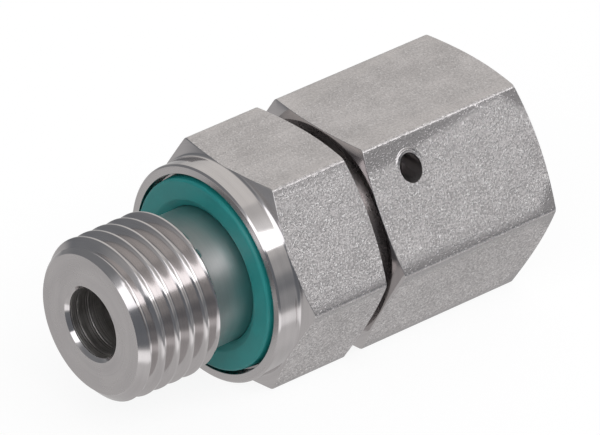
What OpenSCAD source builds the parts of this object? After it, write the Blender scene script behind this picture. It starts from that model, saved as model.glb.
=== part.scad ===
// Tube coupling: screw-in adaptor with a swivel nut, millimetres.
// X runs along the flow bore, from the screw-in end to the nut's open end.
// The origin is on the bore's axis in the collar's sealing face; Z is up.

/* [Part] */
// Sub-part to build

/* [Stud] */
// Nominal diameter of the screw-in thread
stud_d = 14; // [12:0.5:15]
// Length of the stud in front of the sealing face
stud_len = 12; // [10:0.5:16]
// Depth of the lead chamfer, measured on the radius
stud_lead = 0.95; // [0.4:0.05:1.4]
// Smooth neck between the sealing face and the end of the thread
neck_len = 4.2; // [2.5:0.1:5]
// Depth of the neck below the thread's outside
neck_depth = 1.15; // [0.95:0.05:1.6]
// Axial length of the slope from the thread down to the neck
neck_run = 0.7; // [0.4:0.1:1.2]

/* [Flow bore] */
// Diameter of the bore through the adaptor
bore_d = 6; // [4:0.25:7]
// Depth of the countersink at both ends of the bore
bore_lead = 0.3; // [0.2:0.05:0.6]

/* [Collar and sealing ring] */
// Height of the hexagon flats above the collar
collar_step = 0.05; // [0.05:0.05:0.4]
// Length of the collar up to the middle of the hexagon flats
collar_len = 2.0; // [1.9:0.1:4]
// Bevel on the collar's front edge
collar_bevel = 0.15; // [0.05:0.05:0.3]
// Radius of the fillet between the collar and the hexagon
collar_fillet = 0.5; // [0.3:0.05:0.6]
// Width of the sealing face around the groove
face_w = 0.8; // [0.5:0.05:1.2]
// Thickness of the sealing ring
seal_t = 1.5; // [1.2:0.1:1.7]
// Height of the sealing ring above the sealing face
seal_proud = 0.3; // [0.1:0.05:0.4]
// Free space around the sealing ring, on the radius
seal_play = 0.35; // [0.1:0.05:0.6]
// Bevel on the ring's outer front edge
seal_bevel_out = 0.35; // [0.1:0.05:0.5]
// Bevel on the ring's inner front edge
seal_bevel_in = 0.7; // [0.2:0.05:0.9]
// Gap between the sealing ring and the neck, on the radius
seal_gap = 0.03; // [0.01:0.01:0.1]

/* [Hexagons] */
// Width across flats of both hexagons, the spanner size
hex_af = 19; // [18:0.5:24]
// Length of the adaptor's hexagon at the middle of a flat
body_hex_len = 8.7; // [6:0.1:12]
// Length of the nut
nut_len = 17.35; // [16.5:0.05:20]
// Clear space between the adaptor's hexagon and the nut
hex_gap = 1.0; // [0.6:0.1:1.6]
// Width of the small bevel along the hexagon edges
edge_w = 0.25; // [0.2:0.05:0.8]
// Chamfer angle of the adaptor's hexagon from the face plane
body_chamfer = 20; // [12:1:30]
// Chamfer angle of the nut's rear end from the face plane
nut_rear_chamfer = 15; // [10:1:30]
// Chamfer angle of the nut's open end from the face plane
nut_open_chamfer = 20; // [10:1:30]
// Depth of the flat faces below the hexagon flats, on the radius
face_inset = 0.2; // [0.1:0.05:0.5]

/* [Shank and cone] */
// Diameter of the shank that the nut turns on
shank_d = 14; // [13.4:0.1:14.2]
// Running clearance between the shank and the nut, on the radius
run_clear = 0.05; // [0.03:0.01:0.08]
// Half of the cone angle
cone_half_angle = 12; // [8:0.5:14]
// Length of the cone
cone_len = 6.3; // [5.6:0.1:7]
// Diameter of the cone's nose
nose_d = 9.9; // [9.6:0.1:10.4]
// Depth of the nose inside the nut's open end
nose_inset = 1.4; // [0.8:0.1:2]

/* [O-ring] */
// Cord diameter of the O-ring
ring_cord = 1.5; // [1.3:0.1:1.7]
// Height of the O-ring above the cone's surface
ring_proud = 0.17; // [0.1:0.01:0.25]
// Distance from the nose to the middle of the O-ring
ring_setback = 2.2; // [1.8:0.1:2.6]
// Side clearance of the O-ring in its groove
ring_side_gap = 0.25; // [0.1:0.05:0.3]
// Gap under the O-ring, on the radius
ring_seat_gap = 0.02; // [0.01:0.01:0.05]

/* [Nut thread] */
// Nominal diameter of the nut's thread
nut_thread_d = 16; // [15.5:0.5:16.5]
// Pitch of the nut's thread
nut_pitch = 1.5; // [1:0.25:1.75]
// Set-back of the thread's first turn from the cone
thread_setback = 0.6; // [0.2:0.1:1]
// Depth of the countersink at the nut's open end, on the radius
nut_lead = 0.9; // [0.5:0.1:1.2]
// Bevel of the rear bore's edge
rear_bevel = 0.3; // [0.1:0.05:0.4]

/* [Retaining wire] */
// Diameter of the wire
wire_d = 2.0; // [1.6:0.1:2.2]
// Clearance around the wire
wire_gap = 0.05; // [0.02:0.01:0.1]
// Distance from the nut's rear end to the wire
wire_setback = 4.4; // [3.6:0.1:5]
// Angle that the wire's ring fills, in degrees
wire_turn = 310; // [270:5:315]
// Length of the straight tail that lies in the nut's hole
wire_tail = 3.4; // [2:0.1:4]
// Clearance around the tail in the nut's hole
hole_gap = 0.1; // [0.08:0.01:0.2]

/* [Hidden] */
$fn = 96;

steel = [0.66, 0.65, 0.64];
bright_steel = [0.74, 0.74, 0.74];
green_rubber = [0.20, 0.45, 0.42];
black_rubber = [0.08, 0.08, 0.09];

// Reach of cutters past a surface, and overlap of joined solids
cut = 1;
overlap = 0.4;
fillet_steps = 5;
round_steps = 48;

stud_r = stud_d / 2;
neck_r = stud_r - neck_depth;
bore_r = bore_d / 2;
shank_r = shank_d / 2;
wire_r = wire_d / 2;

flat_r = hex_af / 2;
corner_r = hex_af / sqrt(3);
face_r = flat_r - face_inset;
collar_r = flat_r - collar_step;
groove_r = collar_r - face_w;

groove_floor = seal_t - seal_proud;
thread_end = -neck_len;

body_back = collar_len + body_hex_len;
nut_back = body_back + hex_gap;
nut_open = nut_back + nut_len;

nose_x = nut_open - nose_inset;
cone_x = nose_x - cone_len;
nose_r = nose_d / 2;
cone_r = nose_r + cone_len * tan(cone_half_angle);

ring_x = nose_x - ring_setback;
ring_r = ring_cord / 2;
cone_at_ring = nose_r + ring_setback * tan(cone_half_angle);
ring_mid_r = cone_at_ring + ring_proud - ring_r;
ring_floor_r = ring_mid_r - ring_r - ring_seat_gap;
ring_slot = ring_cord + 2 * ring_side_gap;

// Depth of a metric nut thread for each millimetre of its pitch
depth_share = 0.5413;
thread_depth = depth_share * nut_pitch;
rear_bore_r = shank_r + run_clear;
nut_bore_r = max(nut_thread_d / 2 - thread_depth, rear_bore_r + run_clear);
thread_x = cone_x - thread_setback;

// How far the tail starts inside the ring, and how much thinner it is on the radius
tail_root = 0.3;
tail_thin = 0.02;

wire_x = nut_back + wire_setback;
wire_seat_r = wire_r + wire_gap;

// Distance from the axis to the bevel on a hexagon edge
bevel_r = corner_r - edge_w / (2 * tan(60));

// Corner points of the hexagon with bevelled edges, one edge along Y
hex_points = [
    for (k = [0:5], side = [-1, 1])
        let (a = 30 + 60 * k)
        [bevel_r * cos(a) - side * edge_w / 2 * sin(a),
         bevel_r * sin(a) + side * edge_w / 2 * cos(a)]
];

// Arc from the collar's surface up to the hexagon's front cone
function fillet_points(x, r, rad, cone) = [
    for (i = [0:fillet_steps])
        let (a = (90 - cone) * i / fillet_steps)
        [r + rad * (1 - cos(a)), x + rad * sin(a)]
];

// Solid of revolution about X from points given as radius, x
module turned(points) {
    rotate([0, 90, 0]) rotate_extrude() polygon(points);
}

// Ring of round section about X
module torus(x, mid_r, cord_r, turn = 360) {
    translate([x, 0, 0]) rotate([0, 90, 0])
        rotate_extrude(angle = turn) translate([mid_r, 0]) circle(r = cord_r, $fn = round_steps);
}

// Hexagonal bar along X, lying on a flat
module hex_bar(x0, x1) {
    translate([x0, 0, 0]) rotate([0, 90, 0])
        linear_extrude(height = x1 - x0) polygon(hex_points);
}

// Stud, collar, shank and cone as one turned profile
module adaptor_core() {
    turned([
        [0, -stud_len],
        [stud_r - stud_lead, -stud_len],
        [stud_r, -stud_len + stud_lead],
        [stud_r, thread_end],
        [neck_r, thread_end + neck_run],
        [neck_r, groove_floor],
        [groove_r, groove_floor],
        [groove_r, 0],
        [collar_r - collar_bevel, 0],
        [collar_r, collar_bevel],
        [collar_r, collar_len + overlap],
        [shank_r, body_back - overlap],
        [shank_r, cone_x],
        [cone_r, cone_x],
        [nose_r, nose_x],
        [0, nose_x]
    ]);
}

// Hexagon of the adaptor with its fillet and end chamfers
module adaptor_hex() {
    far_r = corner_r + cut;
    start_x = collar_len - collar_fillet * cos(body_chamfer);
    arc = fillet_points(start_x, collar_r, collar_fillet, body_chamfer);
    top = arc[fillet_steps];
    back_drop = (far_r - face_r) * tan(body_chamfer);
    intersection() {
        hex_bar(start_x - cut, body_back + cut);
        turned(concat(
            [[0, collar_len], [collar_r - overlap, collar_len]],
            arc,
            [[far_r, top[1] + (far_r - top[0]) * tan(body_chamfer)],
             [far_r, body_back - back_drop],
             [face_r, body_back],
             [0, body_back]]
        ));
    }
}

// Flow bore with a countersink at each end
module flow_bore_cut() {
    turned([
        [0, -stud_len - cut],
        [bore_r + bore_lead + cut, -stud_len - cut],
        [bore_r, -stud_len + bore_lead],
        [bore_r, nose_x - bore_lead],
        [bore_r + bore_lead + cut, nose_x + cut],
        [0, nose_x + cut]
    ]);
}

// Groove on the cone for the O-ring
module ring_groove_cut() {
    turned([
        [ring_floor_r, ring_x - ring_slot / 2],
        [cone_r + cut, ring_x - ring_slot / 2],
        [cone_r + cut, ring_x + ring_slot / 2],
        [ring_floor_r, ring_x + ring_slot / 2]
    ]);
}

// Screw-in stud, collar, hexagon, shank and cone in one piece
module adaptor_body() {
    color(steel) difference() {
        union() {
            adaptor_core();
            adaptor_hex();
        }
        flow_bore_cut();
        torus(wire_x, shank_r, wire_seat_r);
        ring_groove_cut();
    }
}

// Bevelled rubber ring in the collar's groove
module stud_seal() {
    inner_r = neck_r + seal_gap;
    outer_r = groove_r - seal_play;
    color(green_rubber) turned([
        [inner_r, groove_floor],
        [outer_r, groove_floor],
        [outer_r, seal_bevel_out - seal_proud],
        [outer_r - seal_bevel_out, -seal_proud],
        [inner_r + seal_bevel_in, -seal_proud],
        [inner_r, seal_bevel_in - seal_proud]
    ]);
}

// O-ring near the nose of the cone
module cone_o_ring() {
    color(black_rubber) torus(ring_x, ring_mid_r, ring_r);
}

// Chamfered hexagon of the nut
module nut_blank() {
    far_r = corner_r + cut;
    drop = far_r - face_r;
    intersection() {
        hex_bar(nut_back - cut, nut_open + cut);
        turned([
            [0, nut_back],
            [face_r, nut_back],
            [far_r, nut_back + drop * tan(nut_rear_chamfer)],
            [far_r, nut_open - drop * tan(nut_open_chamfer)],
            [face_r, nut_open],
            [0, nut_open]
        ]);
    }
}

// Rear bore, thread bore and the edges of both
module nut_bore_cut() {
    step = nut_bore_r - rear_bore_r;
    turned([
        [0, nut_back - cut],
        [rear_bore_r + rear_bevel + cut, nut_back - cut],
        [rear_bore_r, nut_back + rear_bevel],
        [rear_bore_r, thread_x],
        [nut_bore_r, thread_x + step],
        [nut_bore_r, nut_open - nut_lead],
        [nut_bore_r + nut_lead + cut, nut_open + cut],
        [0, nut_open + cut]
    ]);
}

// Hole for feeding in the wire, parallel to the upper flat
module wire_hole_cut() {
    translate([wire_x, 0, shank_r]) rotate([90, 0, 0])
        cylinder(h = hex_af, r = wire_r + hole_gap, $fn = round_steps);
}

// Nut that turns on the shank
module swivel_nut() {
    color(steel) difference() {
        nut_blank();
        nut_bore_cut();
        torus(wire_x, shank_r, wire_seat_r);
        wire_hole_cut();
    }
}

// Round wire in the groove, with its straight tail in the nut's hole
module retaining_wire() {
    color(bright_steel) union() {
        rotate([180 - wire_turn, 0, 0]) torus(wire_x, shank_r, wire_r, wire_turn);
        translate([wire_x, tail_root, shank_r]) rotate([90, 0, 0])
            cylinder(h = wire_tail + tail_root, r = wire_r - tail_thin, $fn = round_steps);
    }
}

adaptor_body();
stud_seal();
cone_o_ring();
swivel_nut();
retaining_wire();
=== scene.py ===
"""Looks of a tube coupling: a screw-in adaptor and its swivel nut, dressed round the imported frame.

X runs along the flow bore, from the screw-in end to the nut's open end, and Z is up. Sizes in the
classes are millimetres, angles are radians, and finished meshes are metres, as the frame's are.
"""

import logging
import math
from dataclasses import dataclass, field, replace
from enum import Enum
from typing import ClassVar

import bpy
import numpy as np
from mathutils import Matrix, Vector

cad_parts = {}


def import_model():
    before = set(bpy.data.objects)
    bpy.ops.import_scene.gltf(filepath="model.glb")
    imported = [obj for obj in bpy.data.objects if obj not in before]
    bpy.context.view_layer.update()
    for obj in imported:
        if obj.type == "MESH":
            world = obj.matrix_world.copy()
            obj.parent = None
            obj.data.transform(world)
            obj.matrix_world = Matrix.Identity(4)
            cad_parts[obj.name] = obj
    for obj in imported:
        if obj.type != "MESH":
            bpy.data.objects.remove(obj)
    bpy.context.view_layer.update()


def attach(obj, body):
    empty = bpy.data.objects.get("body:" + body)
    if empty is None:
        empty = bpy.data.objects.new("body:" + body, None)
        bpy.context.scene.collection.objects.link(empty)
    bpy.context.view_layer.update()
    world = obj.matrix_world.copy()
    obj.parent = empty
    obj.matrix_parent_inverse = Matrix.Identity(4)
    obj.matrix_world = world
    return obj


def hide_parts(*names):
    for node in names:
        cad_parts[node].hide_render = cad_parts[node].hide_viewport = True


MM = 0.001
WHITE = (1.0, 1.0, 1.0, 1.0)
SEXTANT = math.radians(60)
HAIR = 0.001
WELD = 2e-5
NEAR = 1e-6
TINY = 1e-9
FILLET_SHARE = 0.45

Colour = tuple[float, float, float]
Span = tuple[float, float]
Sockets = dict[str | int, object]

log = logging.getLogger("tube_coupling")


class Region(Enum):
    """Which kind of surface a strip of a steel piece is; each takes its own finish."""

    TURNED = 0
    FLAT = 1
    FACE = 2
    BORE = 3
    THREAD = 4
    NECK = 5
    HOLE = 6


# Sizes that the coupling's pieces share


@dataclass(frozen=True)
class HexBar:
    """Hexagon bar with rounded edges, lying on a flat."""

    flat_r: float = 9.5
    edge_r: float = 0.5
    face_r: float = 9.3
    edge_columns: int = 6
    flat_columns: int = 46

    def edge_middle(self) -> float:
        """Distance from the axis to the centre of an edge's rounding."""
        return (self.flat_r - self.edge_r) / math.cos(SEXTANT / 2)

    def angles(self) -> np.ndarray:
        """Angles of the columns, close together on the rounded edges.

        On an edge the point is c * (1, 0) + edge_r * (cos a, sin a), with a from -30 to 30 degrees
        and c the distance of the rounding's centre, so its angle is atan2(edge_r sin a, c + edge_r cos a).

        Returns:
            One angle for each column, from the +Y edge round to it again.
        """
        turn = np.radians(np.linspace(-30.0, 30.0, self.edge_columns + 1))
        edge = np.arctan2(self.edge_r * np.sin(turn), self.edge_middle() + self.edge_r * np.cos(turn))
        flat = np.linspace(edge[-1], SEXTANT + edge[0], self.flat_columns + 1)[1:-1]
        sector = np.concatenate([edge, flat])
        return (sector + np.radians(60 * np.arange(6))[:, None]).reshape(-1)

    def radius(self, angles: np.ndarray) -> np.ndarray:
        """Distance of the bar's surface from the axis at each angle.

        On a flat it is flat_r / cos(angle from the flat's middle). On an edge, at the angle d from
        it, it is c cos d + sqrt(edge_r^2 - c^2 sin^2 d).

        Args:
            angles: Angle of each column.

        Returns:
            The radius at each column.
        """
        off_edge = np.mod(angles + SEXTANT / 2, SEXTANT) - SEXTANT / 2
        off_flat = SEXTANT / 2 - np.abs(off_edge)
        middle = self.edge_middle()
        inside = (self.edge_r ** 2 - (middle * np.sin(off_edge)) ** 2).clip(0.0)
        rounded = middle * np.cos(off_edge) + np.sqrt(inside)
        limit = math.atan2(self.edge_r * 0.5, middle + self.edge_r * math.cos(SEXTANT / 2))
        return np.where(np.abs(off_edge) < limit, rounded, self.flat_r / np.cos(off_flat))


@dataclass(frozen=True)
class Retention:
    """Where the wire lies that holds the nut on the shank."""

    x: float = 16.1
    ring_r: float = 7.0
    wire_r: float = 1.0
    seat_r: float = 1.05
    hole_r: float = 1.1
    seat_sides: int = 16

    def seat(self, start: float, end: float, region: Region) -> "list[Corner]":
        """Profile of the wire's round seat.

        Args:
            start: Angle of its first point, from X towards the outside, in degrees.
            end: Angle of its last point, in degrees.
            region: Region of its surface.

        Returns:
            The corners in order.
        """
        turn = np.radians(np.linspace(start, end, self.seat_sides + 1))
        x, r = self.x + self.seat_r * np.cos(turn), self.ring_r + self.seat_r * np.sin(turn)
        return [Corner(*place, region=region) for place in zip(x, r)]


# Shader arithmetic


class Wire:
    """A number coming out of a shader socket; each operator adds the Math node that works it out."""

    def __init__(self, desk: "Desk", socket: bpy.types.NodeSocket) -> None:
        """Hold an output socket of the desk's node tree."""
        self.desk = desk
        self.socket = socket

    def _sum(self, operation: str, *values: "Wire | float") -> "Wire":
        """Add one Math node over the given values."""
        return self.desk.node("ShaderNodeMath", {"operation": operation}, dict(enumerate(values)))[0]

    def __add__(self, other: "Wire | float") -> "Wire":
        """Add."""
        return self._sum("ADD", self, other)

    def __sub__(self, other: "Wire | float") -> "Wire":
        """Subtract."""
        return self._sum("SUBTRACT", self, other)

    def __rsub__(self, other: float) -> "Wire":
        """Subtract from a plain number."""
        return self._sum("SUBTRACT", other, self)

    def __mul__(self, other: "Wire | float") -> "Wire":
        """Multiply."""
        return self._sum("MULTIPLY", self, other)

    def __truediv__(self, other: "Wire | float") -> "Wire":
        """Divide."""
        return self._sum("DIVIDE", self, other)

    def __abs__(self) -> "Wire":
        """Drop the sign."""
        return self._sum("ABSOLUTE", self)

    __radd__ = __add__
    __rmul__ = __mul__

    def root(self) -> "Wire":
        """Square root of the number, or of nought where it is negative."""
        return self._sum("SQRT", self._sum("MAXIMUM", self, 0.0))

    def rise(self, low: float, high: float) -> "Wire":
        """Run smoothly from 0 at low to 1 at high."""
        ends = {"Value": self, "From Min": low, "From Max": high}
        return self.desk.node("ShaderNodeMapRange", {"interpolation_type": "SMOOTHSTEP"}, ends)[0]


class Desk:
    """A node tree being written, with one method that adds any node."""

    def __init__(self, tree: bpy.types.NodeTree) -> None:
        """Start from an empty tree."""
        tree.nodes.clear()
        self.tree = tree

    def node(self, kind: str, settings: dict[str, object] | None = None,
             inputs: Sockets | None = None) -> list[Wire]:
        """Add a node of any type.

        Args:
            kind: Blender's name of the node type.
            settings: Attributes of the node, set before its sockets.
            inputs: Values or wires for its input sockets, by name or number.

        Returns:
            The node's outputs, in order, as wires.
        """
        made = self.tree.nodes.new(kind)
        for name, value in (settings or {}).items():
            setattr(made, name, value)
        for name, value in (inputs or {}).items():
            if isinstance(value, Wire):
                self.tree.links.new(value.socket, made.inputs[name])
            else:
                made.inputs[name].default_value = value
        return [Wire(self, socket) for socket in made.outputs]

    def axes(self, vector: Wire) -> list[Wire]:
        """Part a vector into its three numbers."""
        return self.node("ShaderNodeSeparateXYZ", inputs={0: vector})

    def place(self) -> tuple[Wire, Wire, Wire]:
        """Object coordinates of the shaded point, in millimetres."""
        x, y, z = self.axes(self.node("ShaderNodeTexCoord")[3])
        return x / MM, y / MM, z / MM

    def point(self, x: Wire | float, y: Wire | float, z: Wire | float) -> Wire:
        """Join three numbers into one vector."""
        return self.node("ShaderNodeCombineXYZ", inputs={0: x, 1: y, 2: z})[0]

    def noise(self, at: Wire, scale: float, detail: float = 2.0, w: Wire | float = 0.5) -> Wire:
        """Noise between about 0.2 and 0.8, with scale features in a unit and detail finer octaves."""
        inputs = {"Vector": at, "W": w, "Scale": scale, "Detail": detail}
        return self.node("ShaderNodeTexNoise", {"noise_dimensions": "4D"}, inputs)[0]

    def blend(self, share: Wire, low: Colour | Wire, high: Colour) -> Wire:
        """Mix a colour with a plain one by a share."""
        inputs = {0: share, 6: low if isinstance(low, Wire) else (*low, 1.0), 7: (*high, 1.0)}
        return self.node("ShaderNodeMix", {"data_type": "RGBA"}, inputs)[2]

    def bump(self, height: Wire, depth: float) -> Wire:
        """Tilt the normal by a height, of which 1 stands depth millimetres above 0."""
        inputs = {"Strength": 1.0, "Distance": depth * MM, "Height": height}
        return self.node("ShaderNodeBump", inputs=inputs)[0]

    def seen_by_camera(self, share: float, other: Wire, seen: Wire) -> Wire:
        """Show one shader to the camera, by a share, and another to everything else."""
        ray = self.node("ShaderNodeLightPath")[0]
        return self.node("ShaderNodeMixShader", inputs={0: ray * share, 1: other, 2: seen})[0]

    def lathe_marks(self, pitch: float, wander: float = 0.12) -> Wire:
        """Rings left by a turning tool: noise that changes fast along the profile and slowly round it.

        The noise is read at (x / pitch, wander * cos, wander * sin) with r / pitch as its fourth
        coordinate, where cos and sin are those of the angle round X, so it runs over faces, cones
        and cylinders alike.

        Args:
            pitch: Spacing of the marks, in millimetres.
            wander: How much the marks change round the piece.

        Returns:
            The height of the marks.
        """
        x, y, z = self.place()
        r = (y * y + z * z).root() + HAIR
        return self.noise(self.point(x / pitch, y / r * wander, z / r * wander), 1.0, 1.0, r / pitch)


# Finishes


def new_material(name: str) -> tuple[bpy.types.Material, Desk]:
    """Make an empty material.

    Args:
        name: Name of the material.

    Returns:
        The material, and the desk for its nodes.
    """
    material = bpy.data.materials.new(name)
    material.use_nodes = True
    return material, Desk(material.node_tree)


@dataclass(frozen=True)
class Finish:
    """A surface finish; each kind works out its own sockets."""

    name: str
    colour: Colour
    shade: Colour
    roughness: float

    def sockets(self, desk: Desk) -> Sockets:
        """Work out the Principled shader's sockets."""
        raise NotImplementedError

    def material(self) -> bpy.types.Material:
        """Make the material, which ends in one Principled shader.

        Returns:
            The new material.
        """
        material, desk = new_material(self.name)
        shader = desk.node("ShaderNodeBsdfPrincipled", inputs=self.sockets(desk))[0]
        desk.node("ShaderNodeOutputMaterial", inputs={"Surface": shader})
        return material


@dataclass(frozen=True)
class TurnedSteel(Finish):
    """Stainless steel straight from the lathe."""

    colour: Colour = (0.62, 0.594, 0.59)
    shade: Colour = (0.56, 0.536, 0.535)
    roughness: float = 0.1
    mark_pitch: float = 0.09
    mark_depth: float = 0.0009
    patchy: float = 0.12
    broad_step: float = 7.0
    broad_wander: float = 1.5

    def sockets(self, desk: Desk) -> Sockets:
        """Fine and broad lathe marks give the bump and the uneven tone, and clouds the uneven gloss.

        Args:
            desk: The material's nodes.

        Returns:
            The shader's sockets.
        """
        marks = desk.lathe_marks(self.mark_pitch)
        broad = desk.lathe_marks(self.mark_pitch * self.broad_step, self.broad_wander)
        cloud = desk.noise(desk.point(*desk.place()), 0.5, 3.0)
        tone = broad * 0.6 + marks * 0.4
        return {
            "Base Color": desk.blend(tone.rise(0.3, 0.7), self.shade, self.colour),
            "Metallic": 1.0,
            "Roughness": cloud * self.patchy + (self.roughness - self.patchy / 2),
            "Normal": desk.bump(marks + broad * 1.5, self.mark_depth),
        }


@dataclass(frozen=True)
class DrawnSteel(Finish):
    """Pickled hexagon bar: a fine sparkling grain, with painted glints, that dies out towards the burnished
    edges.
    """

    colour: Colour = (0.745, 0.714, 0.708)
    shade: Colour = (0.465, 0.446, 0.444)
    roughness: float = 0.42
    # Colour of the smooth band beside the edges: a painted reflection of darker surroundings.
    painted_dark_reflection: Colour = (0.42, 0.405, 0.41)
    # Colour of the bright specks: a painted glint.
    painted_glint: Colour = (0.98, 0.96, 0.95)
    bar: HexBar = HexBar()
    keep: Retention = Retention()
    nut_from: float = 11.1
    nut_upper: Span = (1.0, 7.0)
    worn_x: Span = (11.2, 27.0)
    worn_end: Span = (26.6, 28.9)
    worn_width: float = 1.7
    smooth: Span = (4.2, 5.6)
    edge: Span = (5.2, 5.4)
    # How much calmer the top flats are painted, since they face the bright tent.
    calm_top: float = 0.6
    grain: float = 0.17
    speck_scale: float = 1.25
    speck_level: Span = (0.56, 0.7)
    grain_depth: float = 0.05
    hole_lip: float = 0.22
    lip_height: float = 1.9

    def worn_band(self, x: Wire, z: Wire) -> Wire:
        """How much wider the smooth edge is, in millimetres, at the nut's rear and open ends.

        Args:
            x: Place along X.
            z: Height, which counts at the rear end, where the wear is mostly on the upper side.

        Returns:
            The width to add.
        """
        on_nut = x.rise(self.nut_from, self.worn_x[0]) * (z.rise(*self.nut_upper) * 0.8 + 0.2)
        rear = on_nut * (1.0 - x.rise(*self.worn_x)) * self.worn_width
        return rear + x.rise(*self.worn_end) * self.worn_width

    def lip(self, x: Wire, y: Wire, z: Wire) -> Wire:
        """Ridge along the upper half of the feeding hole's rim, on the flat that it opens in.

        Args:
            x: Place along X.
            y: Place along Y.
            z: Place along Z.

        Returns:
            The ridge's height, from 0 to 1.
        """
        off_x, off_z = x - self.keep.x, z - self.keep.ring_r
        near = abs((off_x * off_x + off_z * off_z).root() - self.keep.hole_r - self.hole_lip * 0.8)
        on_flat = (y * -1.0).rise(5.0, 5.5)
        return (1.0 - near.rise(0.0, self.hole_lip)) * on_flat * off_z.rise(0.0, self.keep.hole_r)

    def sockets(self, desk: Desk) -> Sockets:
        """Mottled grain, slightly raised specks painted bright as glints, smooth bands by speckled edges.

        The distance from the middle of a flat is sqrt(r * r - flat_r * flat_r), with r the distance
        from the axis. The specks are where a second noise is high; their bright colour is a painted
        glint. The grain fades out over the span smooth, nearer to the middle where the edge has more
        wear, and that smooth band's colour is darkened as a painted reflection of darker surroundings.
        The edge beyond the span edge is dotted with specks. The uppermost flats, which face the bright
        tent, are painted calmer by calm_top: less tone, fewer glints and no painted dark band.

        Args:
            desk: The material's nodes.

        Returns:
            The shader's sockets.
        """
        x, y, z = desk.place()
        across = (y * y + z * z - self.bar.flat_r ** 2).root()
        at = desk.point(x, y, z)
        cloud = desk.noise(at, 0.35, 3.0)
        rough_zone = 1.0 - (across + self.worn_band(x, z) + cloud - 0.5).rise(*self.smooth)
        edge = across.rise(*self.edge)
        # Painted light: the top flats, which face the bright tent, get less grain tone, fewer painted glints
        # and none of the painted dark band.
        off_top_flat = 1.0 - z.rise(self.bar.flat_r - 0.1, self.bar.flat_r - 0.02) * self.calm_top
        coarse = desk.noise(at, 1.0 / self.grain, 1.0, 0.37)
        specks = desk.noise(at, self.speck_scale / self.grain, 0.0, 0.61).rise(*self.speck_level) * off_top_flat
        drawn = desk.noise(desk.point(x * 0.12, y, z), 2.2, 2.0)
        grain = (coarse * 0.6 + specks) * (rough_zone * 0.9 + edge * 0.5 + 0.1)
        height = grain + drawn * 0.15 + self.lip(x, y, z) * self.lip_height
        tone = cloud * 0.25 + drawn * 0.1 + (coarse - 0.5) * off_top_flat * 0.75 + 0.325
        steel = desk.blend(tone.rise(0.36, 0.64), self.shade, self.colour)
        # Painted reflection: the smooth band beside the edge is darkened in colour to stand in for the
        # darker surroundings it mirrors, though not on the edge itself or the top flats.
        steel = desk.blend((1.0 - rough_zone) * (1.0 - edge) * off_top_flat * 0.8, steel, self.painted_dark_reflection)
        return {
            # Painted glints: the specks, and the specks dotting the edge, are brightened in colour to stand
            # in for sparkle.
            "Base Color": desk.blend(specks * (rough_zone * 0.85 + edge * 0.9), steel, self.painted_glint),
            "Metallic": 1.0,
            "Roughness": cloud * 0.12 + rough_zone * 0.29 + edge * 0.22 + (self.roughness - 0.28),
            "Normal": desk.bump(height, self.grain_depth),
        }


@dataclass(frozen=True)
class MouldedRubber(Finish):
    """Moulded rubber with a fine matt skin."""

    roughness: float = 0.42
    grain: float = 0.12
    grain_depth: float = 0.006
    patchy: float = 0.16

    def sockets(self, desk: Desk) -> Sockets:
        """Fine grain gives the bump, and faint clouds the uneven tone and gloss.

        Args:
            desk: The material's nodes.

        Returns:
            The shader's sockets.
        """
        at = desk.point(*desk.place())
        grain = desk.noise(at, 1.0 / self.grain, 2.0)
        cloud = desk.noise(at, 0.6, 3.0)
        return {
            "Base Color": desk.blend((cloud * 0.7 + grain * 0.3).rise(0.3, 0.7), self.shade, self.colour),
            "Roughness": cloud * self.patchy + (self.roughness - self.patchy / 2),
            "IOR": 1.5,
            "Normal": desk.bump(grain, self.grain_depth),
        }


@dataclass(frozen=True)
class DrawnWire(Finish):
    """Bright drawn wire, with fine lines along its length."""

    colour: Colour = (0.66, 0.655, 0.65)
    shade: Colour = (0.52, 0.515, 0.51)
    roughness: float = 0.22
    patchy: float = 0.12
    line_depth: float = 0.002

    def sockets(self, desk: Desk) -> Sockets:
        """Noise stretched along the wire by its own UV map, with U along it and V round it.

        Args:
            desk: The material's nodes.

        Returns:
            The shader's sockets.
        """
        along, around, _ = desk.axes(desk.node("ShaderNodeTexCoord")[2])
        lines = desk.noise(desk.point(along * 3.0, around * 40.0, 0.0), 1.0, 2.0)
        return {
            "Base Color": desk.blend(lines.rise(0.3, 0.7), self.shade, self.colour),
            "Metallic": 1.0,
            "Roughness": lines * self.patchy + (self.roughness - self.patchy / 2),
            "Normal": desk.bump(lines, self.line_depth),
        }


# Surfaces


@dataclass(frozen=True)
class Corner:
    """A corner of a turned profile; x and r may change round the piece, as on a hexagon."""

    x: np.ndarray | float
    r: np.ndarray | float
    fillet: float = 0.0
    region: Region = Region.TURNED


@dataclass(frozen=True)
class Strip:
    """Rows of a surface round X: x and r by row and column, and the region of each band of rows."""

    x: np.ndarray
    r: np.ndarray
    regions: np.ndarray
    turn_shift: int = 0


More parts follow.
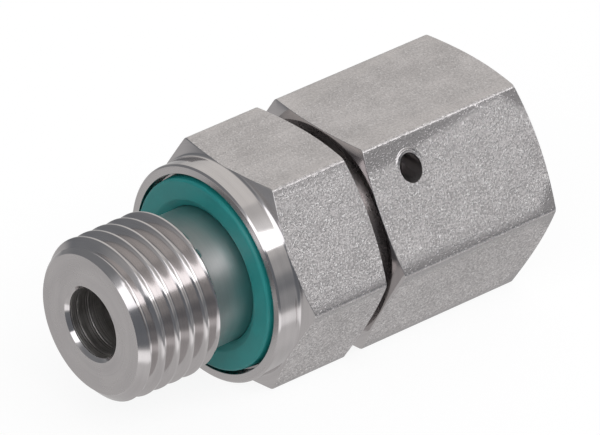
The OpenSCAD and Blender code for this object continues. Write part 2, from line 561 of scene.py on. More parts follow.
def rounded_strip(corners: list[Corner], count: int, steps: int = 4) -> Strip:
    """Carry a profile round the axis with its corners rounded.

    A corner C of fillet f turns on the arc that touches both sides at f * tan(turn / 2) from C. The
    arc is the rational quadratic curve between the two touching points, with C as its middle point
    and cos(turn / 2) as C's weight. It takes at most FILLET_SHARE of either side.

    Args:
        corners: The profile's corners in order; its two ends stay sharp.
        count: Number of columns round the piece.
        steps: Number of bands in one fillet.

    Returns:
        The strip's rows.
    """
    points = np.array([[np.broadcast_to(c.x, count), np.broadcast_to(c.r, count)] for c in corners])
    rows, regions = [], []
    share = np.linspace(0.0, 1.0, steps + 1)[:, None, None]
    for k, corner in enumerate(corners):
        if corner.fillet == 0.0:
            rows.append(points[k][None])
            regions.append(corner.region.value)
            continue
        back, ahead = points[k - 1] - points[k], points[k + 1] - points[k]
        back_len = np.hypot(*back) + TINY
        ahead_len = np.hypot(*ahead) + TINY
        cosine = (back * ahead).sum(0) / (back_len * ahead_len)
        reach = corner.fillet * np.sqrt((1 + cosine) / (1 - cosine).clip(TINY))
        reach = np.minimum(reach, FILLET_SHARE * np.minimum(back_len, ahead_len))
        weight = np.sqrt((1 - cosine) / 2)
        low, mid, high = (1 - share) ** 2, 2 * share * (1 - share) * weight, share ** 2
        start, end = points[k] + back / back_len * reach, points[k] + ahead / ahead_len * reach
        rows.append((low * start + mid * points[k] + high * end) / (low + mid + high))
        regions.extend([corners[k - 1].region.value] * (steps // 2))
        regions.extend([corner.region.value] * (steps - steps // 2 + 1))
    grid = np.concatenate(rows)
    return Strip(grid[:, 0], grid[:, 1], np.array(regions[:-1]))


def soft_min(a: np.ndarray, b: np.ndarray | float, width: float) -> np.ndarray:
    """Smaller of two heights, with the crossing rounded over the given width."""
    share = np.clip(width - np.abs(a - b), 0.0, None) / width
    return np.minimum(a, b) - share * share * width / 4


@dataclass(frozen=True)
class ThreadCut:
    """A right-hand 60 degree thread between two places on the axis, cut in a turned blank.

    The blank has the radii blank_r at the places blank_x.
    """

    start: float
    end: float
    pitch: float
    crest_r: float
    root_r: float
    blank_x: tuple[float, ...]
    blank_r: tuple[float, ...]
    blank_soft: float = 0.05
    fade: float = 1.2
    lag: float = 0.33
    crest_soft: float = 0.03
    root_soft: float = 0.09
    crest_share: float = 0.125
    flank: float = 1.732

    def slope(self) -> float:
        """How far a 30 degree flank falls while the profile's phase goes on by 1."""
        return self.flank * self.pitch

    def depth(self) -> float:
        """Height from root to crest."""
        return abs(self.crest_r - self.root_r)

    def phases(self) -> np.ndarray:
        """Phases of one turn's rows, close together on the soft corners of root and crest.

        Phase 0 is the middle of the root and 0.5 the middle of the crest. A corner is as wide in
        phase as its softness divided by the flank's slope.

        Returns:
            The phases in order, from 0 to just under 1.
        """
        crest = 0.5 - self.crest_share / 2
        root = crest - self.depth() / self.slope()
        root_half, crest_half = self.root_soft / self.slope(), self.crest_soft / self.slope()
        rising = np.concatenate([
            [0.0],
            root + root_half * np.array([-1.0, -0.35, 0.35, 1.0]),
            np.linspace(root + root_half, crest - crest_half, 5)[1:-1],
            crest + crest_half * np.array([-1.0, 0.0, 1.0]),
        ])
        return np.concatenate([rising, [0.5], 1.0 - rising[:0:-1]])

    def on_blank(self, x: np.ndarray, cut_r: np.ndarray) -> np.ndarray:
        """Join the thread and its blank.

        An outside thread leaves the smaller radius of the two, with a soft crossing between its
        ends. An inside thread grows over the fade length, and leaves the larger one.

        Args:
            x: Places along X.
            cut_r: Radius that the thread alone gives there.

        Returns:
            The surface's radius.
        """
        blank = np.interp(x, self.blank_x, self.blank_r)
        if self.crest_r > self.root_r:
            between = (x > self.start + NEAR) & (x < self.end - NEAR)
            return np.where(between, soft_min(cut_r, blank, self.blank_soft), np.minimum(cut_r, blank))
        share = np.clip((x - self.start) / self.fade, 0.0, 1.0)
        faded = self.crest_r + (cut_r - self.crest_r) * share * share * (3 - 2 * share)
        return np.maximum(blank, faded)

    def strip(self, angles: np.ndarray) -> Strip:
        """Rows that follow the helix.

        With n phases p in one turn, row q * n + j at angle t lies at
        x = start + pitch * (q - 2 + p[j] + lag + t / 2 pi), kept between start and end, so a row
        comes back one pitch further on and joins the row n further there. The profile's phase at a
        point is (x - start) / pitch - lag - t / 2 pi, and its flanks fall by slope for each 1 of it.

        Args:
            angles: Angle of each column round X.

        Returns:
            The thread's rows.
        """
        phases = self.phases()
        n = len(phases)
        turns = int(math.ceil((self.end - self.start) / self.pitch)) + 3
        steps = np.append((np.arange(turns)[:, None] + phases).reshape(-1), float(turns))
        turn = angles / (2 * math.pi) + self.lag
        x = np.clip(self.start + self.pitch * (steps[:, None] - 2 + turn), self.start, self.end)
        phase = np.mod((x - self.start) / self.pitch - turn, 1.0)
        sign = math.copysign(1.0, self.crest_r - self.root_r)
        fall = self.slope() * (np.abs(phase - 0.5) - self.crest_share / 2)
        cut = -soft_min(-soft_min(fall, self.depth(), self.root_soft), 0.0, self.crest_soft)
        r = self.on_blank(x, self.crest_r - sign * cut)
        return Strip(x, r, np.full(len(steps) - 1, Region.THREAD.value), n)


def full_turn(count: int) -> np.ndarray:
    """Evenly spaced angles of one turn, in radians."""
    return np.linspace(0.0, 2 * math.pi, count + 1)[:-1]


def grid_faces(rows: int, columns: int, closed: bool = True, turn_shift: int = 0) -> np.ndarray:
    """Four-sided faces over a grid of points that are numbered row by row.

    Args:
        rows: Number of rows.
        columns: Number of points in a row.
        closed: Whether a row's end joins a row's start.
        turn_shift: How many rows further on that row lies, as on a thread.

    Returns:
        Four point numbers for each face.
    """
    bands = columns if closed else columns - 1
    row, column = np.meshgrid(np.arange(rows - 1), np.arange(bands), indexing="ij")
    side = (column + 1) % columns
    shift = (column + 1) // columns * turn_shift
    low = np.minimum(row + shift, rows - 1)
    high = np.minimum(row + 1 + shift, rows - 1)
    quads = np.stack([row * columns + column, (row + 1) * columns + column,
                      high * columns + side, low * columns + side], -1)
    return quads.reshape(-1, 4)


@dataclass
class Skin:
    """The closed surface of one piece, gathered from strips and then joined where they meet."""

    angles: np.ndarray
    points: list[np.ndarray] = field(default_factory=list)
    faces: list[np.ndarray] = field(default_factory=list)
    regions: list[np.ndarray] = field(default_factory=list)

    def add_grid(self, grid: np.ndarray, regions: np.ndarray, turn_shift: int = 0) -> None:
        """Add a surface whose rows close.

        Args:
            grid: Points by row and column.
            regions: Region of each band between two rows.
            turn_shift: How many rows further on a row's end joins.
        """
        base = sum(len(p) for p in self.points)
        rows, columns = grid.shape[:2]
        self.points.append(grid.reshape(-1, 3))
        self.faces.append(grid_faces(rows, columns, turn_shift=turn_shift) + base)
        self.regions.append(np.repeat(regions, columns))

    def add(self, strip: Strip) -> None:
        """Lay a strip round X: a point is (x, r * cos(angle), r * sin(angle))."""
        place = [strip.x, strip.r * np.cos(self.angles), strip.r * np.sin(self.angles)]
        self.add_grid(np.stack(place, -1), strip.regions, strip.turn_shift)

    def joined(self) -> tuple[np.ndarray, list[list[int]], np.ndarray]:
        """Merge points that meet and sort out faces that have shrunk.

        Returns:
            The points in metres, the faces, all facing outwards, and the region of each face.
        """
        points, faces = np.concatenate(self.points), np.concatenate(self.faces)
        regions = np.concatenate(self.regions)
        keys = np.round(points / WELD).astype(np.int64)
        _, first, back = np.unique(keys, axis=0, return_index=True, return_inverse=True)
        points, faces = points[first] * MM, back.reshape(-1)[faces]
        same = faces == np.roll(faces, -1, 1)
        crossed = (faces[:, 0] == faces[:, 2]) | (faces[:, 1] == faces[:, 3])
        whole = (same.sum(1) == 0) & ~crossed
        three = (same.sum(1) == 1) & ~crossed
        order = (np.argmax(same[three], 1)[:, None] + np.array([1, 2, 3])) % 4
        quads, triangles = faces[whole], np.take_along_axis(faces[three], order, 1)
        fans = np.concatenate([quads[:, :3], quads[:, [0, 2, 3]], triangles])
        a, b, c = points[fans].transpose(1, 0, 2)
        if (a * np.cross(b, c)).sum() < 0:
            quads, triangles = quads[:, ::-1], triangles[:, ::-1]
        return points, quads.tolist() + triangles.tolist(), np.concatenate([regions[whole], regions[three]])


def add_object(name: str, data: bpy.types.ID) -> bpy.types.Object:
    """Put an object with the given data in the scene, at the origin.

    Args:
        name: Name of the object.
        data: Its mesh or camera.

    Returns:
        The new object.
    """
    made = bpy.data.objects.new(name, data)
    bpy.context.scene.collection.objects.link(made)
    return made


def new_mesh(name: str, points: np.ndarray, faces: list[list[int]]) -> bpy.types.Mesh:
    """Make a mesh.

    Args:
        name: Name of the mesh.
        points: Its points in metres.
        faces: Point numbers of each face.

    Returns:
        The new mesh.
    """
    mesh = bpy.data.meshes.new(name)
    mesh.from_pydata(points.reshape(-1, 3).tolist(), [], faces)
    return mesh


def settle(piece: bpy.types.Object, body: str, node: str) -> None:
    """Make a piece stand for its CAD node and ride on its body.

    Args:
        piece: The finished piece.
        body: CAD body that it moves with.
        node: CAD node that it replaces.
    """
    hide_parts(node)
    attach(piece, body)
    triangles = sum(len(p.vertices) - 2 for p in piece.data.polygons)
    log.info("%s: %d triangles, rides on %s", piece.name, triangles, body)


# The pieces


@dataclass(frozen=True)
class Piece:
    """A piece of the coupling, which stands for a CAD node and rides on a body.

    Edges that turn by more than sharp degrees are shaded sharp.
    """

    node: ClassVar[str]
    body: ClassVar[str] = "adaptor"
    slot: ClassVar[str] = "steel"
    sharp: ClassVar[float] = 32.0

    def skin(self) -> Skin:
        """The piece's closed surface."""
        raise NotImplementedError

    def refine(self, piece: bpy.types.Object) -> None:
        """Last work on the finished mesh, where a piece needs any."""

    def build(self, *finishes: bpy.types.Material) -> bpy.types.Object:
        """Build the piece at the origin, in place of its CAD node.

        Broad faces set the shading, so that flats stay flat up to their small fillets.

        Args:
            finishes: The material of each region, in the order of the regions.

        Returns:
            The new object.
        """
        points, faces, regions = self.skin().joined()
        name = f"{self.node}_look"
        mesh = new_mesh(name, points, faces)
        for finish in finishes:
            mesh.materials.append(finish)
        mesh.polygons.foreach_set("material_index", regions)
        mesh.shade_smooth()
        mesh.set_sharp_from_angle(angle=math.radians(self.sharp))
        mesh.validate()
        piece = add_object(name, mesh)
        modifier = piece.modifiers.new("broad_faces_first", "WEIGHTED_NORMAL")
        modifier.weight = 100
        modifier.keep_sharp = True
        self.refine(piece)
        settle(piece, self.body, self.node)
        return piece


@dataclass(frozen=True)
class HexPiece(Piece):
    """A piece turned from hexagon bar, closed by its thread."""

    bar: HexBar = HexBar()
    retention: Retention = Retention()

    def outside(self, hexagon: np.ndarray) -> list[Corner]:
        """Profile of all but the thread, from the hexagon's radius at each column."""
        raise NotImplementedError

    def thread(self) -> ThreadCut:
        """The thread between the outside's end and its start."""
        raise NotImplementedError

    def skin(self) -> Skin:
        """Carry the outside and the thread round the bar's columns.

        Returns:
            The piece's closed surface.
        """
        angles = self.bar.angles()
        skin = Skin(angles)
        skin.add(rounded_strip(self.outside(self.bar.radius(angles)), len(angles)))
        skin.add(self.thread().strip(angles))
        return skin


@dataclass(frozen=True)
class AdaptorBody(HexPiece):
    """Screw-in stud, collar, hexagon, shank and cone, turned from one hexagon bar."""

    node = "adaptor_body"

    stud_end: float = -12.0
    stud_r: float = 7.0
    stud_root_r: float = 6.08
    stud_pitch: float = 1.5
    rim_r: float = 6.05
    lead_x: float = -11.05
    thread_x: float = -4.2
    neck_x: float = -3.5
    neck_r: float = 5.85
    neck_flat_x: float = -1.5
    neck_sweep: float = 22.0
    bore_r: float = 3.0
    bore_lead: float = 0.3
    groove_floor: float = 1.2
    groove_r: float = 8.65
    collar_r: float = 9.45
    collar_bevel: float = 0.15
    fillet_x: float = 1.80
    fillet_r: float = 0.35
    chamfer: float = math.radians(20)
    back_x: float = 10.7
    shank_r: float = 7.0
    cone_x: float = 21.35
    cone_r: float = 6.289
    nose_x: float = 27.65
    nose_r: float = 4.95
    ring_x: float = 25.45
    ring_slot: float = 2.0
    ring_floor_r: float = 4.068
    edge_round: float = 0.05
    mouth_round: float = 0.04
    collar_round: float = 0.06
    face_round: float = 0.08
    floor_round: float = 0.12
    root_round: float = 0.15
    end_facing: float = 0.1

    def front_rows(self, hexagon: np.ndarray) -> list[Corner]:
        """Surface from the collar up to the hexagon's front edge.

        The radius grows from the collar's to the hexagon's as the square of the share, and x follows
        it: on the fillet x = fillet_x + sqrt(fillet_r^2 - (fillet_r - (r - collar_r))^2), and beyond
        it on the cone x grows by tan(chamfer) for each unit of r.

        Args:
            hexagon: The hexagon's radius at each column.

        Returns:
            Corners whose last one is the front edge of the flats.
        """
        rise = self.fillet_r * (1 - math.sin(self.chamfer))
        corners = []
        for share in np.linspace(0.0, 1.0, 17) ** 2:
            r = self.collar_r + (hexagon - self.collar_r) * share
            left = (self.fillet_r - (r - self.collar_r)).clip(self.fillet_r - rise)
            on_arc = self.fillet_x + np.sqrt(self.fillet_r ** 2 - left ** 2)
            beyond = (r - self.collar_r - rise).clip(0.0) * math.tan(self.chamfer)
            corners.append(Corner(on_arc + beyond, r))
        return corners[:-1] + [replace(corners[-1], fillet=self.edge_round, region=Region.FLAT)]

    def neck_at(self, x: float) -> float:
        """Neck's radius: neck_r + (x - neck_flat_x)^2 / neck_sweep before neck_flat_x."""
        return self.neck_r + min(x - self.neck_flat_x, 0.0) ** 2 / self.neck_sweep

    def outside(self, hexagon: np.ndarray) -> list[Corner]:
        """Profile from the neck over the collar and hexagon to the nose, and back through the bore.

        Args:
            hexagon: The hexagon's radius at each column.

        Returns:
            The corners in order, up to the rim of the stud's end face.
        """
        face = self.bar.face_r
        mouth_r = self.bore_r + self.bore_lead
        slope = (self.cone_r - self.nose_r) / (self.nose_x - self.cone_x)
        slot = (self.ring_x - self.ring_slot / 2, self.ring_x + self.ring_slot / 2)
        cone = [self.nose_r + (self.nose_x - x) * slope for x in slot]
        back_edge = self.back_x - (hexagon - face) * math.tan(self.chamfer)
        return [
            *(Corner(x, self.neck_at(x), region=Region.NECK)
              for x in np.linspace(self.neck_x, self.neck_flat_x, 9)),
            Corner(self.groove_floor, self.neck_r, self.floor_round, Region.FACE),
            Corner(self.groove_floor, self.groove_r, self.collar_round),
            Corner(0.0, self.groove_r, self.edge_round, Region.FACE),
            Corner(0.0, self.collar_r - self.collar_bevel, self.collar_round),
            Corner(self.collar_bevel, self.collar_r, self.collar_round),
            *self.front_rows(hexagon),
            Corner(back_edge, hexagon, self.edge_round),
            Corner(self.back_x, face, self.face_round, Region.FACE),
            Corner(self.back_x, self.shank_r, self.root_round),
            *self.retention.seat(180, 360, Region.TURNED),
            Corner(self.cone_x, self.shank_r, self.face_round, Region.FACE),
            Corner(self.cone_x, self.cone_r, self.face_round),
            Corner(slot[0], cone[0], self.edge_round),
            Corner(slot[0], self.ring_floor_r, self.root_round),
            Corner(slot[1], self.ring_floor_r, self.root_round),
            Corner(slot[1], cone[1], self.edge_round),
            Corner(self.nose_x, self.nose_r, self.root_round, Region.FACE),
            Corner(self.nose_x, mouth_r, self.mouth_round),
            Corner(self.nose_x - self.bore_lead, self.bore_r, self.collar_round, Region.BORE),
            Corner(self.stud_end + self.bore_lead, self.bore_r, self.collar_round),
            Corner(self.stud_end, mouth_r, self.mouth_round, Region.FACE),
            Corner(self.stud_end, self.rim_r - self.end_facing, region=Region.FACE),
            Corner(self.stud_end, self.rim_r),
        ]

    def thread(self) -> ThreadCut:
        """The stud's thread, from its end face over the lead to the neck.

        Returns:
            The thread.
        """
        x = (self.stud_end, self.lead_x, self.thread_x, self.neck_x)
        r = (self.rim_r, self.stud_r, self.stud_r, self.neck_at(self.neck_x))
        return ThreadCut(self.stud_end, self.neck_x, self.stud_pitch, self.stud_r, self.stud_root_r, x, r)


@dataclass(frozen=True)
class SwivelNut(HexPiece):
    """Hexagon nut that turns on the shank, with its thread and the hole for the wire."""

    node = "swivel_nut"
    body = "nut"

    back_x: float = 11.7
    back_chamfer: float = math.radians(15)
    open_x: float = 29.05
    open_chamfer: float = math.radians(20)
    rear_bore_r: float = 7.05
    rear_bevel: float = 0.3
    thread_x: float = 20.75
    thread_bore_r: float = 7.188
    thread_root_r: float = 8.03
    thread_pitch: float = 1.5
    thread_fade: float = 1.2
    lead: float = 0.9
    edge_round: float = 0.05
    rear_round: float = 0.1
    open_round: float = 0.08
    mouth_angle: float = 2.7
    drill_reach: float = 11.0
    drill_sides: int = 48

    def thread_start(self) -> float:
        """Where the thread begins, at the end of the step up from the rear bore."""
        return self.thread_x + self.thread_bore_r - self.rear_bore_r

    def outside(self, hexagon: np.ndarray) -> list[Corner]:
        """Profile from the rear bore's end round the outside to the open end's countersink.

        Args:
            hexagon: The hexagon's radius at each column.

        Returns:
            The corners in order.
        """
        face = self.bar.face_r
        back_edge = self.back_x + (hexagon - face) * math.tan(self.back_chamfer)
        open_edge = self.open_x - (hexagon - face) * math.tan(self.open_chamfer)
        return [
            Corner(self.thread_start(), self.thread_bore_r, region=Region.BORE),
            Corner(self.thread_x, self.rear_bore_r, region=Region.BORE),
            *self.retention.seat(self.mouth_angle, 180 - self.mouth_angle, Region.BORE),
            Corner(self.back_x + self.rear_bevel, self.rear_bore_r, self.edge_round),
            Corner(self.back_x, self.rear_bore_r + self.rear_bevel, self.edge_round, Region.FACE),
            Corner(self.back_x, face, self.rear_round),
            Corner(back_edge, hexagon, self.edge_round, Region.FLAT),
            Corner(open_edge, hexagon, self.edge_round),
            Corner(self.open_x, face, self.open_round, Region.FACE),
            Corner(self.open_x, self.thread_bore_r + self.lead),
        ]

    def refine(self, piece: bpy.types.Object) -> None:
        """Cut the hole that the wire is fed in through, parallel to the upper flat.

        The drill is a cylinder of radius hole_r round the line along Y through (x, z) = (retention.x,
        ring_r).

        Args:
            piece: The nut, which is changed.
        """
        keep = self.retention
        share = np.linspace(0.0, 1.0, 9)[:, None]
        turn = full_turn(self.drill_sides)[None]
        ring = np.stack([keep.x + keep.hole_r * np.cos(turn) + share * 0,
                         share * -self.drill_reach + turn * 0,
                         keep.ring_r + keep.hole_r * np.sin(turn) + share * 0], -1)
        rows, columns = ring.shape[:2]
        last = rows * columns - 1
        ends = [list(range(columns)), list(range(last, last - columns, -1))]
        mesh = new_mesh("wire_drill", ring * MM, grid_faces(rows, columns)[:, ::-1].tolist() + ends)
        mesh.validate()
        drill = add_object("wire_drill", mesh)
        mesh.materials.append(piece.data.materials[Region.HOLE.value])
        cut = piece.modifiers.new("wire_hole", "BOOLEAN")
        cut.operation, cut.solver, cut.object = "DIFFERENCE", "EXACT", drill
        cut.material_mode = "TRANSFER"
        piece.modifiers.move(len(piece.modifiers) - 1, 0)
        bpy.context.view_layer.update()
        with bpy.context.temp_override(object=piece, active_object=piece, selected_objects=[piece]):
            bpy.ops.object.modifier_apply(modifier=cut.name)
        bpy.data.objects.remove(drill)
        piece.data.set_sharp_from_angle(angle=math.radians(self.sharp))

    def thread(self) -> ThreadCut:
        """The nut's thread, from the step at its inner end to the countersink.

        Returns:
            The thread.
        """
        start = self.thread_start()
        x = (start, self.open_x - self.lead, self.open_x)
        r = (self.thread_bore_r, self.thread_bore_r, self.thread_bore_r + self.lead)
        return ThreadCut(start, self.open_x, self.thread_pitch, self.thread_bore_r, self.thread_root_r,
                         x, r, fade=self.thread_fade)


@dataclass(frozen=True)
class StudSeal(Piece):
    """Bevelled rubber ring in the collar's groove."""

    node = "stud_seal"
    slot = "green_rubber"
    sharp = 60.0

    inner_r: float = 5.88
    outer_r: float = 8.44
    back_x: float = 1.2
    front_x: float = -0.3
    outer_draft: float = 0.15
    inner_bevel: float = 0.7
    inner_bevel_depth: float = 0.45
    root_round: float = 0.12
    outer_round: float = 0.28
    bevel_round: float = 0.4
    columns: int = 256

    def skin(self) -> Skin:
        """Carry a five-cornered profile with soft corners round X.

        Returns:
            The ring's closed surface.
        """
        middle = (self.inner_r + self.outer_r) / 2
        corners = [
            Corner(self.back_x, middle),
            Corner(self.back_x, self.outer_r, self.root_round),
            Corner(self.front_x, self.outer_r - self.outer_draft, self.outer_round),
            Corner(self.front_x, self.inner_r + self.inner_bevel, self.bevel_round),
            Corner(self.front_x + self.inner_bevel_depth, self.inner_r, self.root_round),
            Corner(self.back_x, self.inner_r, self.root_round),
            Corner(self.back_x, middle),
        ]
        skin = Skin(full_turn(self.columns))
        skin.add(rounded_strip(corners, self.columns, 6))
        return skin


@dataclass(frozen=True)
class ConeORing(Piece):
    """O-ring near the nose of the cone."""

    node = "cone_o_ring"
    slot = "black_rubber"
    sharp = 80.0

    x: float = 25.45
    middle_r: float = 4.838
    cord_r: float = 0.75
    flash: float = 0.012
    flash_power: int = 40
    columns: int = 192
    sides: int = 48

    def skin(self) -> Skin:
        """Carry the cord's section round X.

        The cord's section is a circle that stands out by a hair at its middle line, where the mould
        closed: its radius is cord_r - flash * (1 - cos(a)^flash_power), with a measured from the
        inside or the outside of the ring.

        Returns:
            The ring's closed surface.
        """
        turn = np.linspace(0.0, 2 * math.pi, self.sides + 1)
        cord = self.cord_r - self.flash * (1 - np.cos(turn) ** self.flash_power)
        x, r = self.x + cord * np.sin(turn), self.middle_r + cord * np.cos(turn)
        skin = Skin(full_turn(self.columns))
        flat = np.zeros(self.columns)
        skin.add(Strip(x[:, None] + flat, r[:, None] + flat, np.zeros(self.sides, int)))
        return skin


@dataclass(frozen=True)
class RetainingWire(Piece):
    """Round wire in the groove between shank and nut, with a straight tail in the nut's hole."""

    node = "retaining_wire"
    body = "nut"
    slot = "wire"
    sharp = 50.0

    retention: Retention = Retention()
    turn: float = math.radians(310)
    tail: float = 3.4
    end_round: float = 0.2
    sides: int = 40
    ring_steps: int = 180
    tail_above: float = 5.5

    def skin(self) -> Skin:
        """Carry a round section along the wire's path.

        With s the length from the tail's tip, the path is (0, s - tail, ring_r) for s up to tail, in
        x, y, z from the groove's place, and then the arc (0, ring_r sin a, ring_r cos a) with
        a = (s - tail) / ring_r. The section turns with it: its outward direction is (0, 0, 1) on
        the tail and (0, sin a, cos a) on the arc. The tips shrink on a quarter circle of end_round.

        Returns:
            The wire's closed surface.
        """
        keep = self.retention
        length = self.tail + keep.ring_r * self.turn
        tip = self.end_round * (1 - np.cos(np.linspace(0.0, math.pi / 2, 6)))
        middle = np.concatenate([np.linspace(self.end_round, self.tail, 12)[1:],
                                 np.linspace(self.tail, length - self.end_round, self.ring_steps)[1:-1]])
        s = np.concatenate([[0.0], tip, middle, (length - tip)[::-1], [length]])
        short = (1 - np.minimum(s, length - s) / self.end_round).clip(0.0)
        section = keep.wire_r - self.end_round * (1 - np.sqrt(1 - short ** 2))
        section[[0, -1]] = 0.0
        a = (s - self.tail).clip(0.0) / keep.ring_r
        out = np.stack([0 * a, np.sin(a), np.cos(a)], -1)
        path = out * keep.ring_r + np.stack([0 * a + keep.x, (s - self.tail).clip(None, 0.0), 0 * a], -1)
        around = full_turn(self.sides)
        spoke = np.cos(around)[:, None] * out[:, None] + np.sin(around)[:, None] * np.array([1.0, 0.0, 0.0])
        skin = Skin(around)
        skin.add_grid(path[:, None] + spoke * section[:, None, None], np.zeros(len(s) - 1, int))
        return skin

    def refine(self, piece: bpy.types.Object) -> None:
        """Give the wire a UV map: U is the angle along the ring, V how far a point is across it.

        U is atan2(y, z) in radians, or y / ring_r on the tail, and V is x from the groove's middle
        plus the distance from the axis, both in wire diameters, so neither has a seam in sight.

        Args:
            piece: The wire's object.
        """
        keep = self.retention
        mesh = piece.data
        place = np.empty(len(mesh.vertices) * 3)
        mesh.vertices.foreach_get("co", place)
        x, y, z = place.reshape(-1, 3).T / MM
        corner = np.empty(len(mesh.loops), np.int64)
        mesh.loops.foreach_get("vertex_index", corner)
        along = np.where(z > self.tail_above, y / keep.ring_r, np.arctan2(y, z))
        across = (x - keep.x + np.hypot(y, z) - keep.ring_r) / (2 * keep.wire_r)
        layer = mesh.uv_layers.new(name="along_wire")
        layer.uv.foreach_set("vector", np.stack([along, across], -1)[corner].astype(np.float32).ravel())


# Studio


@dataclass(frozen=True)
class SoftBox:
    """One long soft box above the camera, as shares of its light by direction.

    Its lower edge is a plane through X at edge_turn, and its back edge is the plane
    y = back_place + back_slope * x. The cloth is dimmer, by far_dim, away from the lamp near +X,
    and a faint skirt hangs behind the back edge.
    """

    light: float = 1.95
    edge_turn: float = math.radians(145.3)
    edge_soft: Span = (-0.014, 0.016)
    back_slope: float = -0.327
    back_place: float = -0.33
    back_soft: Span = (0.015, 0.065)
    right_end: Span = (0.66, 0.8)
    skirt: float = 0.155
    skirt_span: Span = (-0.24, 0.0)
    far_dim: float = 0.28
    lamp_span: Span = (0.1, 0.45)
    mirror_light: float = 0.6
    mirror_top: Span = (0.41, 0.49)
    mirror_foot: Span = (0.585, 0.665)
    mirror_slant: float = 0.045
    sheen: float = 0.13

    def behind_edge(self, x: Wire, y: Wire) -> Wire:
        """How far a direction lies in front of the back edge."""
        return x * self.back_slope + self.back_place - y

    def seen(self, x: Wire, y: Wire, z: Wire) -> Wire:
        """Share of the box seen in a direction.

        Height above the lower edge's plane is y sin(edge_turn) - z cos(edge_turn).

        Args:
            x: Direction along X.
            y: Direction along Y.
            z: Direction along Z.

        Returns:
            The share, from 0 to just over 1.
        """
        height = y * math.sin(self.edge_turn) - z * math.cos(self.edge_turn)
        inside = self.behind_edge(x, y)
        cloth = inside.rise(*self.back_soft) + inside.rise(*self.skirt_span) * self.skirt
        lamp = 1.0 - (1.0 - x.rise(*self.lamp_span)) * self.far_dim
        return height.rise(*self.edge_soft) * cloth * lamp * (1.0 - x.rise(*self.right_end))

    def mirrored(self, x: Wire, y: Wire, z: Wire) -> Wire:
        """Share of the box that the table top mirrors, strongest on the left, with a faint sheen.

        Args:
            x: Direction along X.
            y: Direction along Y.
            z: Direction along Z.

        Returns:
            The share, from 0 to 1.
        """
        depth = z * -1.0
        band = depth.rise(*self.mirror_top) * (1.0 - (depth + x * self.mirror_slant).rise(*self.mirror_foot))
        strength = (1.0 - x.rise(-0.5, 0.3) * 0.42) * (1.0 - y.rise(-0.45, -0.15) * 0.6)
        sheen = depth.rise(*self.mirror_top) * (1.0 - y.rise(-0.4, -0.1)) * self.sheen
        return band * self.behind_edge(x, y).rise(0.0, 0.12) * strength + sheen


@dataclass(frozen=True)
class Gloom:
    """Where the tent is dark: along the horizon, high on the left, and near +X.

    In front a dark band lies along the horizon, darkest at its core and towards -X, and the tent
    above it is a little dim. Behind, the horizon is only faintly dark. High on the left it is dark,
    and less so straight along -X.
    """

    colour: Colour = (0.168, 0.18, 0.198)
    front: Span = (-0.1, 0.3)
    left: Span = (-0.5, 0.3)
    band: Span = (0.34, 0.48)
    band_dim: Span = (0.55, 0.4)
    core: Span = (0.05, 0.2)
    core_dim: float = 0.65
    behind: Span = (0.06, 0.48)
    high_front: Span = (0.35, 0.5)
    high_edge: Span = (-0.16, -0.06)
    faint_dim: float = 0.3
    side: Span = (-0.2, -0.06)
    side_edge: Span = (-0.3, 0.35)
    side_pale: Span = (-1.0, -0.7)
    side_dim: Span = (0.46, 0.42)
    right: Span = (0.72, 0.9)
    right_dim: float = 0.8

    @staticmethod
    def either(a: Wire, b: Wire) -> Wire:
        """Join two shares that both darken: 1 - (1 - a)(1 - b)."""
        return 1.0 - (1.0 - a) * (1.0 - b)

    def share(self, x: Wire, y: Wire, z: Wire) -> Wire:
        """How much darker the surroundings are in a direction.

        Args:
            x: Direction along X.
            y: Direction along Y.
            z: Direction along Z.

        Returns:
            The share of the gloom, from 0 to 1.
        """
        front = 1.0 - y.rise(*self.front)
        left = 1.0 - x.rise(*self.left)
        level = abs(z)
        band = (1.0 - level.rise(*self.band)) * (left * self.band_dim[1] + self.band_dim[0])
        core = (1.0 - level.rise(*self.core)) * self.core_dim
        before = self.either(band, core) * front
        behind = (1.0 - level.rise(*self.behind)) * (1.0 - front) * self.faint_dim
        high_front = z.rise(*self.high_front) * (1.0 - y.rise(*self.high_edge)) * self.faint_dim
        paler = x.rise(*self.side_pale) * self.side_dim[1] + self.side_dim[0]
        high_left = z.rise(*self.side) * (1.0 - x.rise(*self.side_edge)) * paler
        near = self.either(self.either(before, behind), self.either(high_front, high_left))
        return self.either(near, x.rise(*self.right) * self.right_dim)


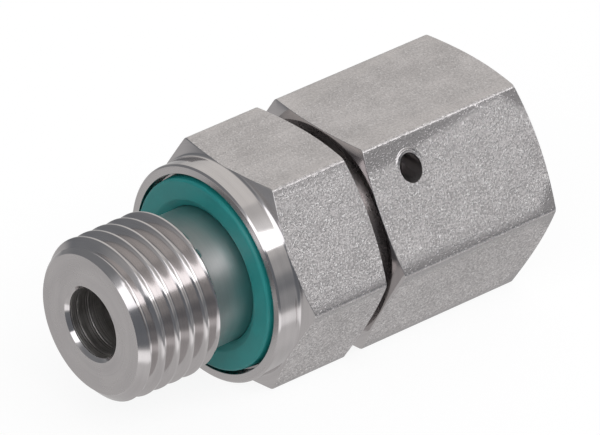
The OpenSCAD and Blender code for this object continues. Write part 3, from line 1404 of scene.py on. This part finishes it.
@dataclass(frozen=True)
class Studio:
    """A pale table in a light tent, with a soft box, and the camera."""

    box: SoftBox = SoftBox()
    gloom: Gloom = Gloom()
    tent: Colour = (0.80, 0.785, 0.765)
    table: Colour = (0.58, 0.575, 0.575)
    blue_tint: float = 1.02
    floor_z: float = -9.5
    floor_size: float = 1600.0
    floor_points: int = 5
    floor_pale: Colour = (0.81, 0.81, 0.81)
    floor_shade: Colour = (0.79, 0.79, 0.79)
    floor_glow: float = 1.08
    floor_white: float = 0.82
    camera_at: tuple[float, float, float] = (7.736, 4.610, 768.3)
    azimuth: float = math.radians(-40.36)
    elevation: float = math.radians(31.05)
    focal: float = 9465.0
    image_width: float = 600.0
    sensor: float = 36.0

    def hang_tent(self) -> None:
        """Write the world: a warm tent over a paler table, with dim sides and the soft box.

        What the metal sees below the horizon is the table, with the soft box mirrored in it. The
        camera sees plain white.
        """
        world = bpy.data.worlds.new("light_tent")
        bpy.context.scene.world = world
        world.use_nodes = True
        desk = Desk(world.node_tree)
        x, y, z = desk.axes(desk.node("ShaderNodeTexCoord")[0])
        base = desk.blend(z.rise(-0.04, 0.04), self.table, self.tent)
        dimmed = desk.blend(self.gloom.share(x, y, z), base, self.gloom.colour)
        glow = self.box.seen(x, y, z) * self.box.light + self.box.mirrored(x, y, z) * self.box.mirror_light
        light = desk.node("ShaderNodeVectorMath", {"operation": "ADD"},
                          {0: dimmed, 1: desk.point(glow, glow, glow * self.blue_tint)})[0]
        tent = desk.node("ShaderNodeBackground", inputs={"Color": light, "Strength": 1.0})[0]
        white = desk.node("ShaderNodeBackground", inputs={"Color": WHITE, "Strength": 1.0})[0]
        desk.node("ShaderNodeOutputWorld", inputs={"Surface": desk.seen_by_camera(1.0, tent, white)})

    def floor_material(self) -> bpy.types.Material:
        """Make the table top's finish, which the camera sees mostly as plain white, shadow kept.

        Returns:
            The finish.
        """
        material, desk = new_material("pale_table")
        tone = desk.noise(desk.point(*desk.place()), 0.02, 2.0)
        colour = desk.blend(tone, self.floor_shade, self.floor_pale)
        matt = desk.node("ShaderNodeBsdfDiffuse", inputs={"Color": colour})[0]
        white = desk.node("ShaderNodeEmission", inputs={"Color": WHITE, "Strength": self.floor_glow})[0]
        surface = desk.seen_by_camera(self.floor_white, matt, white)
        desk.node("ShaderNodeOutputMaterial", inputs={"Surface": surface})
        return material

    def lay_floor(self) -> None:
        """Lay the table top, a flat sheet that no reflection shows."""
        count = self.floor_points
        span = np.linspace(-self.floor_size, self.floor_size, count) / 2 * MM
        u, v = np.meshgrid(span, span, indexing="ij")
        points = np.stack([u, v, u * 0 + self.floor_z * MM], -1)
        sheet = new_mesh("table_top", points, grid_faces(count, count, False).tolist())
        floor = add_object("table_top", sheet)
        floor.visible_glossy = False
        floor.data.materials.append(self.floor_material())

    def set_camera(self) -> None:
        """Stand the camera where the photograph was taken from."""
        a, e = self.azimuth, self.elevation
        right = Vector((math.cos(a), math.sin(a), 0.0))
        up = Vector((-math.sin(a) * math.sin(e), math.cos(a) * math.sin(e), math.cos(e)))
        back = Vector((math.sin(a) * math.cos(e), -math.cos(a) * math.cos(e), math.sin(e)))
        place = (right * self.camera_at[0] + up * self.camera_at[1] + back * self.camera_at[2]) * MM
        lens = bpy.data.cameras.new("camera")
        lens.sensor_width = self.sensor
        lens.lens = self.focal / self.image_width * self.sensor
        lens.clip_start, lens.clip_end = 0.01, 10.0
        camera = add_object("camera", lens)
        turn = Matrix((right, up, back)).transposed().to_4x4()
        camera.matrix_world = Matrix.Translation(place) @ turn
        bpy.context.scene.camera = camera

    def build(self) -> None:
        """Set up the whole studio and the plain view transform."""
        self.hang_tent()
        self.lay_floor()
        self.set_camera()
        bpy.context.scene.view_settings.view_transform = "Standard"


def steel_finishes(bar: HexBar, retention: Retention) -> list[bpy.types.Material]:
    """Make the finish of each region of the steel pieces.

    Args:
        bar: The hexagon bar, for the middle and the edges of its flats.
        retention: The wire's place, for the hole's rim.

    Returns:
        The materials, in the order of the regions.
    """
    finishes = {
        Region.TURNED: TurnedSteel("turned_steel"),
        Region.FLAT: DrawnSteel("hexagon_steel", bar=bar, keep=retention),
        Region.FACE: TurnedSteel("faced_steel", roughness=0.27, mark_pitch=0.12),
        # The bore's colour is lighter than the other steel's: painted light that lifts the shade inside the
        # deep bore.
        Region.BORE: TurnedSteel("bored_steel", (0.86, 0.84, 0.82), (0.54, 0.52, 0.505), 0.38,
                                 mark_pitch=0.16, mark_depth=0.075, patchy=0.24),
        Region.THREAD: TurnedSteel("thread_steel", roughness=0.13, mark_pitch=0.07, mark_depth=0.0004),
        Region.NECK: TurnedSteel("neck_steel", roughness=0.34, mark_pitch=0.14, mark_depth=0.0014),
        Region.HOLE: TurnedSteel("drilled_steel", roughness=0.3, mark_pitch=0.4, mark_depth=0.05),
    }
    return [finishes[region].material() for region in Region]


def main() -> None:
    """Build the studio and the coupling's pieces."""
    logging.basicConfig(level=logging.INFO, format="%(name)s: %(message)s")
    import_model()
    Studio().build()

    bar, retention = HexBar(), Retention()
    steel = steel_finishes(bar, retention)
    AdaptorBody(bar, retention).build(*steel)
    SwivelNut(bar, retention).build(*steel)
    RetainingWire(retention).build(DrawnWire("bright_wire").material())
    green = MouldedRubber("green_rubber_skin", (0.0165, 0.29, 0.278), (0.013, 0.252, 0.242))
    StudSeal().build(green.material())
    black = MouldedRubber("black_rubber_skin", (0.022, 0.022, 0.024), (0.014, 0.014, 0.015))
    ConeORing().build(black.material())


if __name__ == "__main__":
    main()
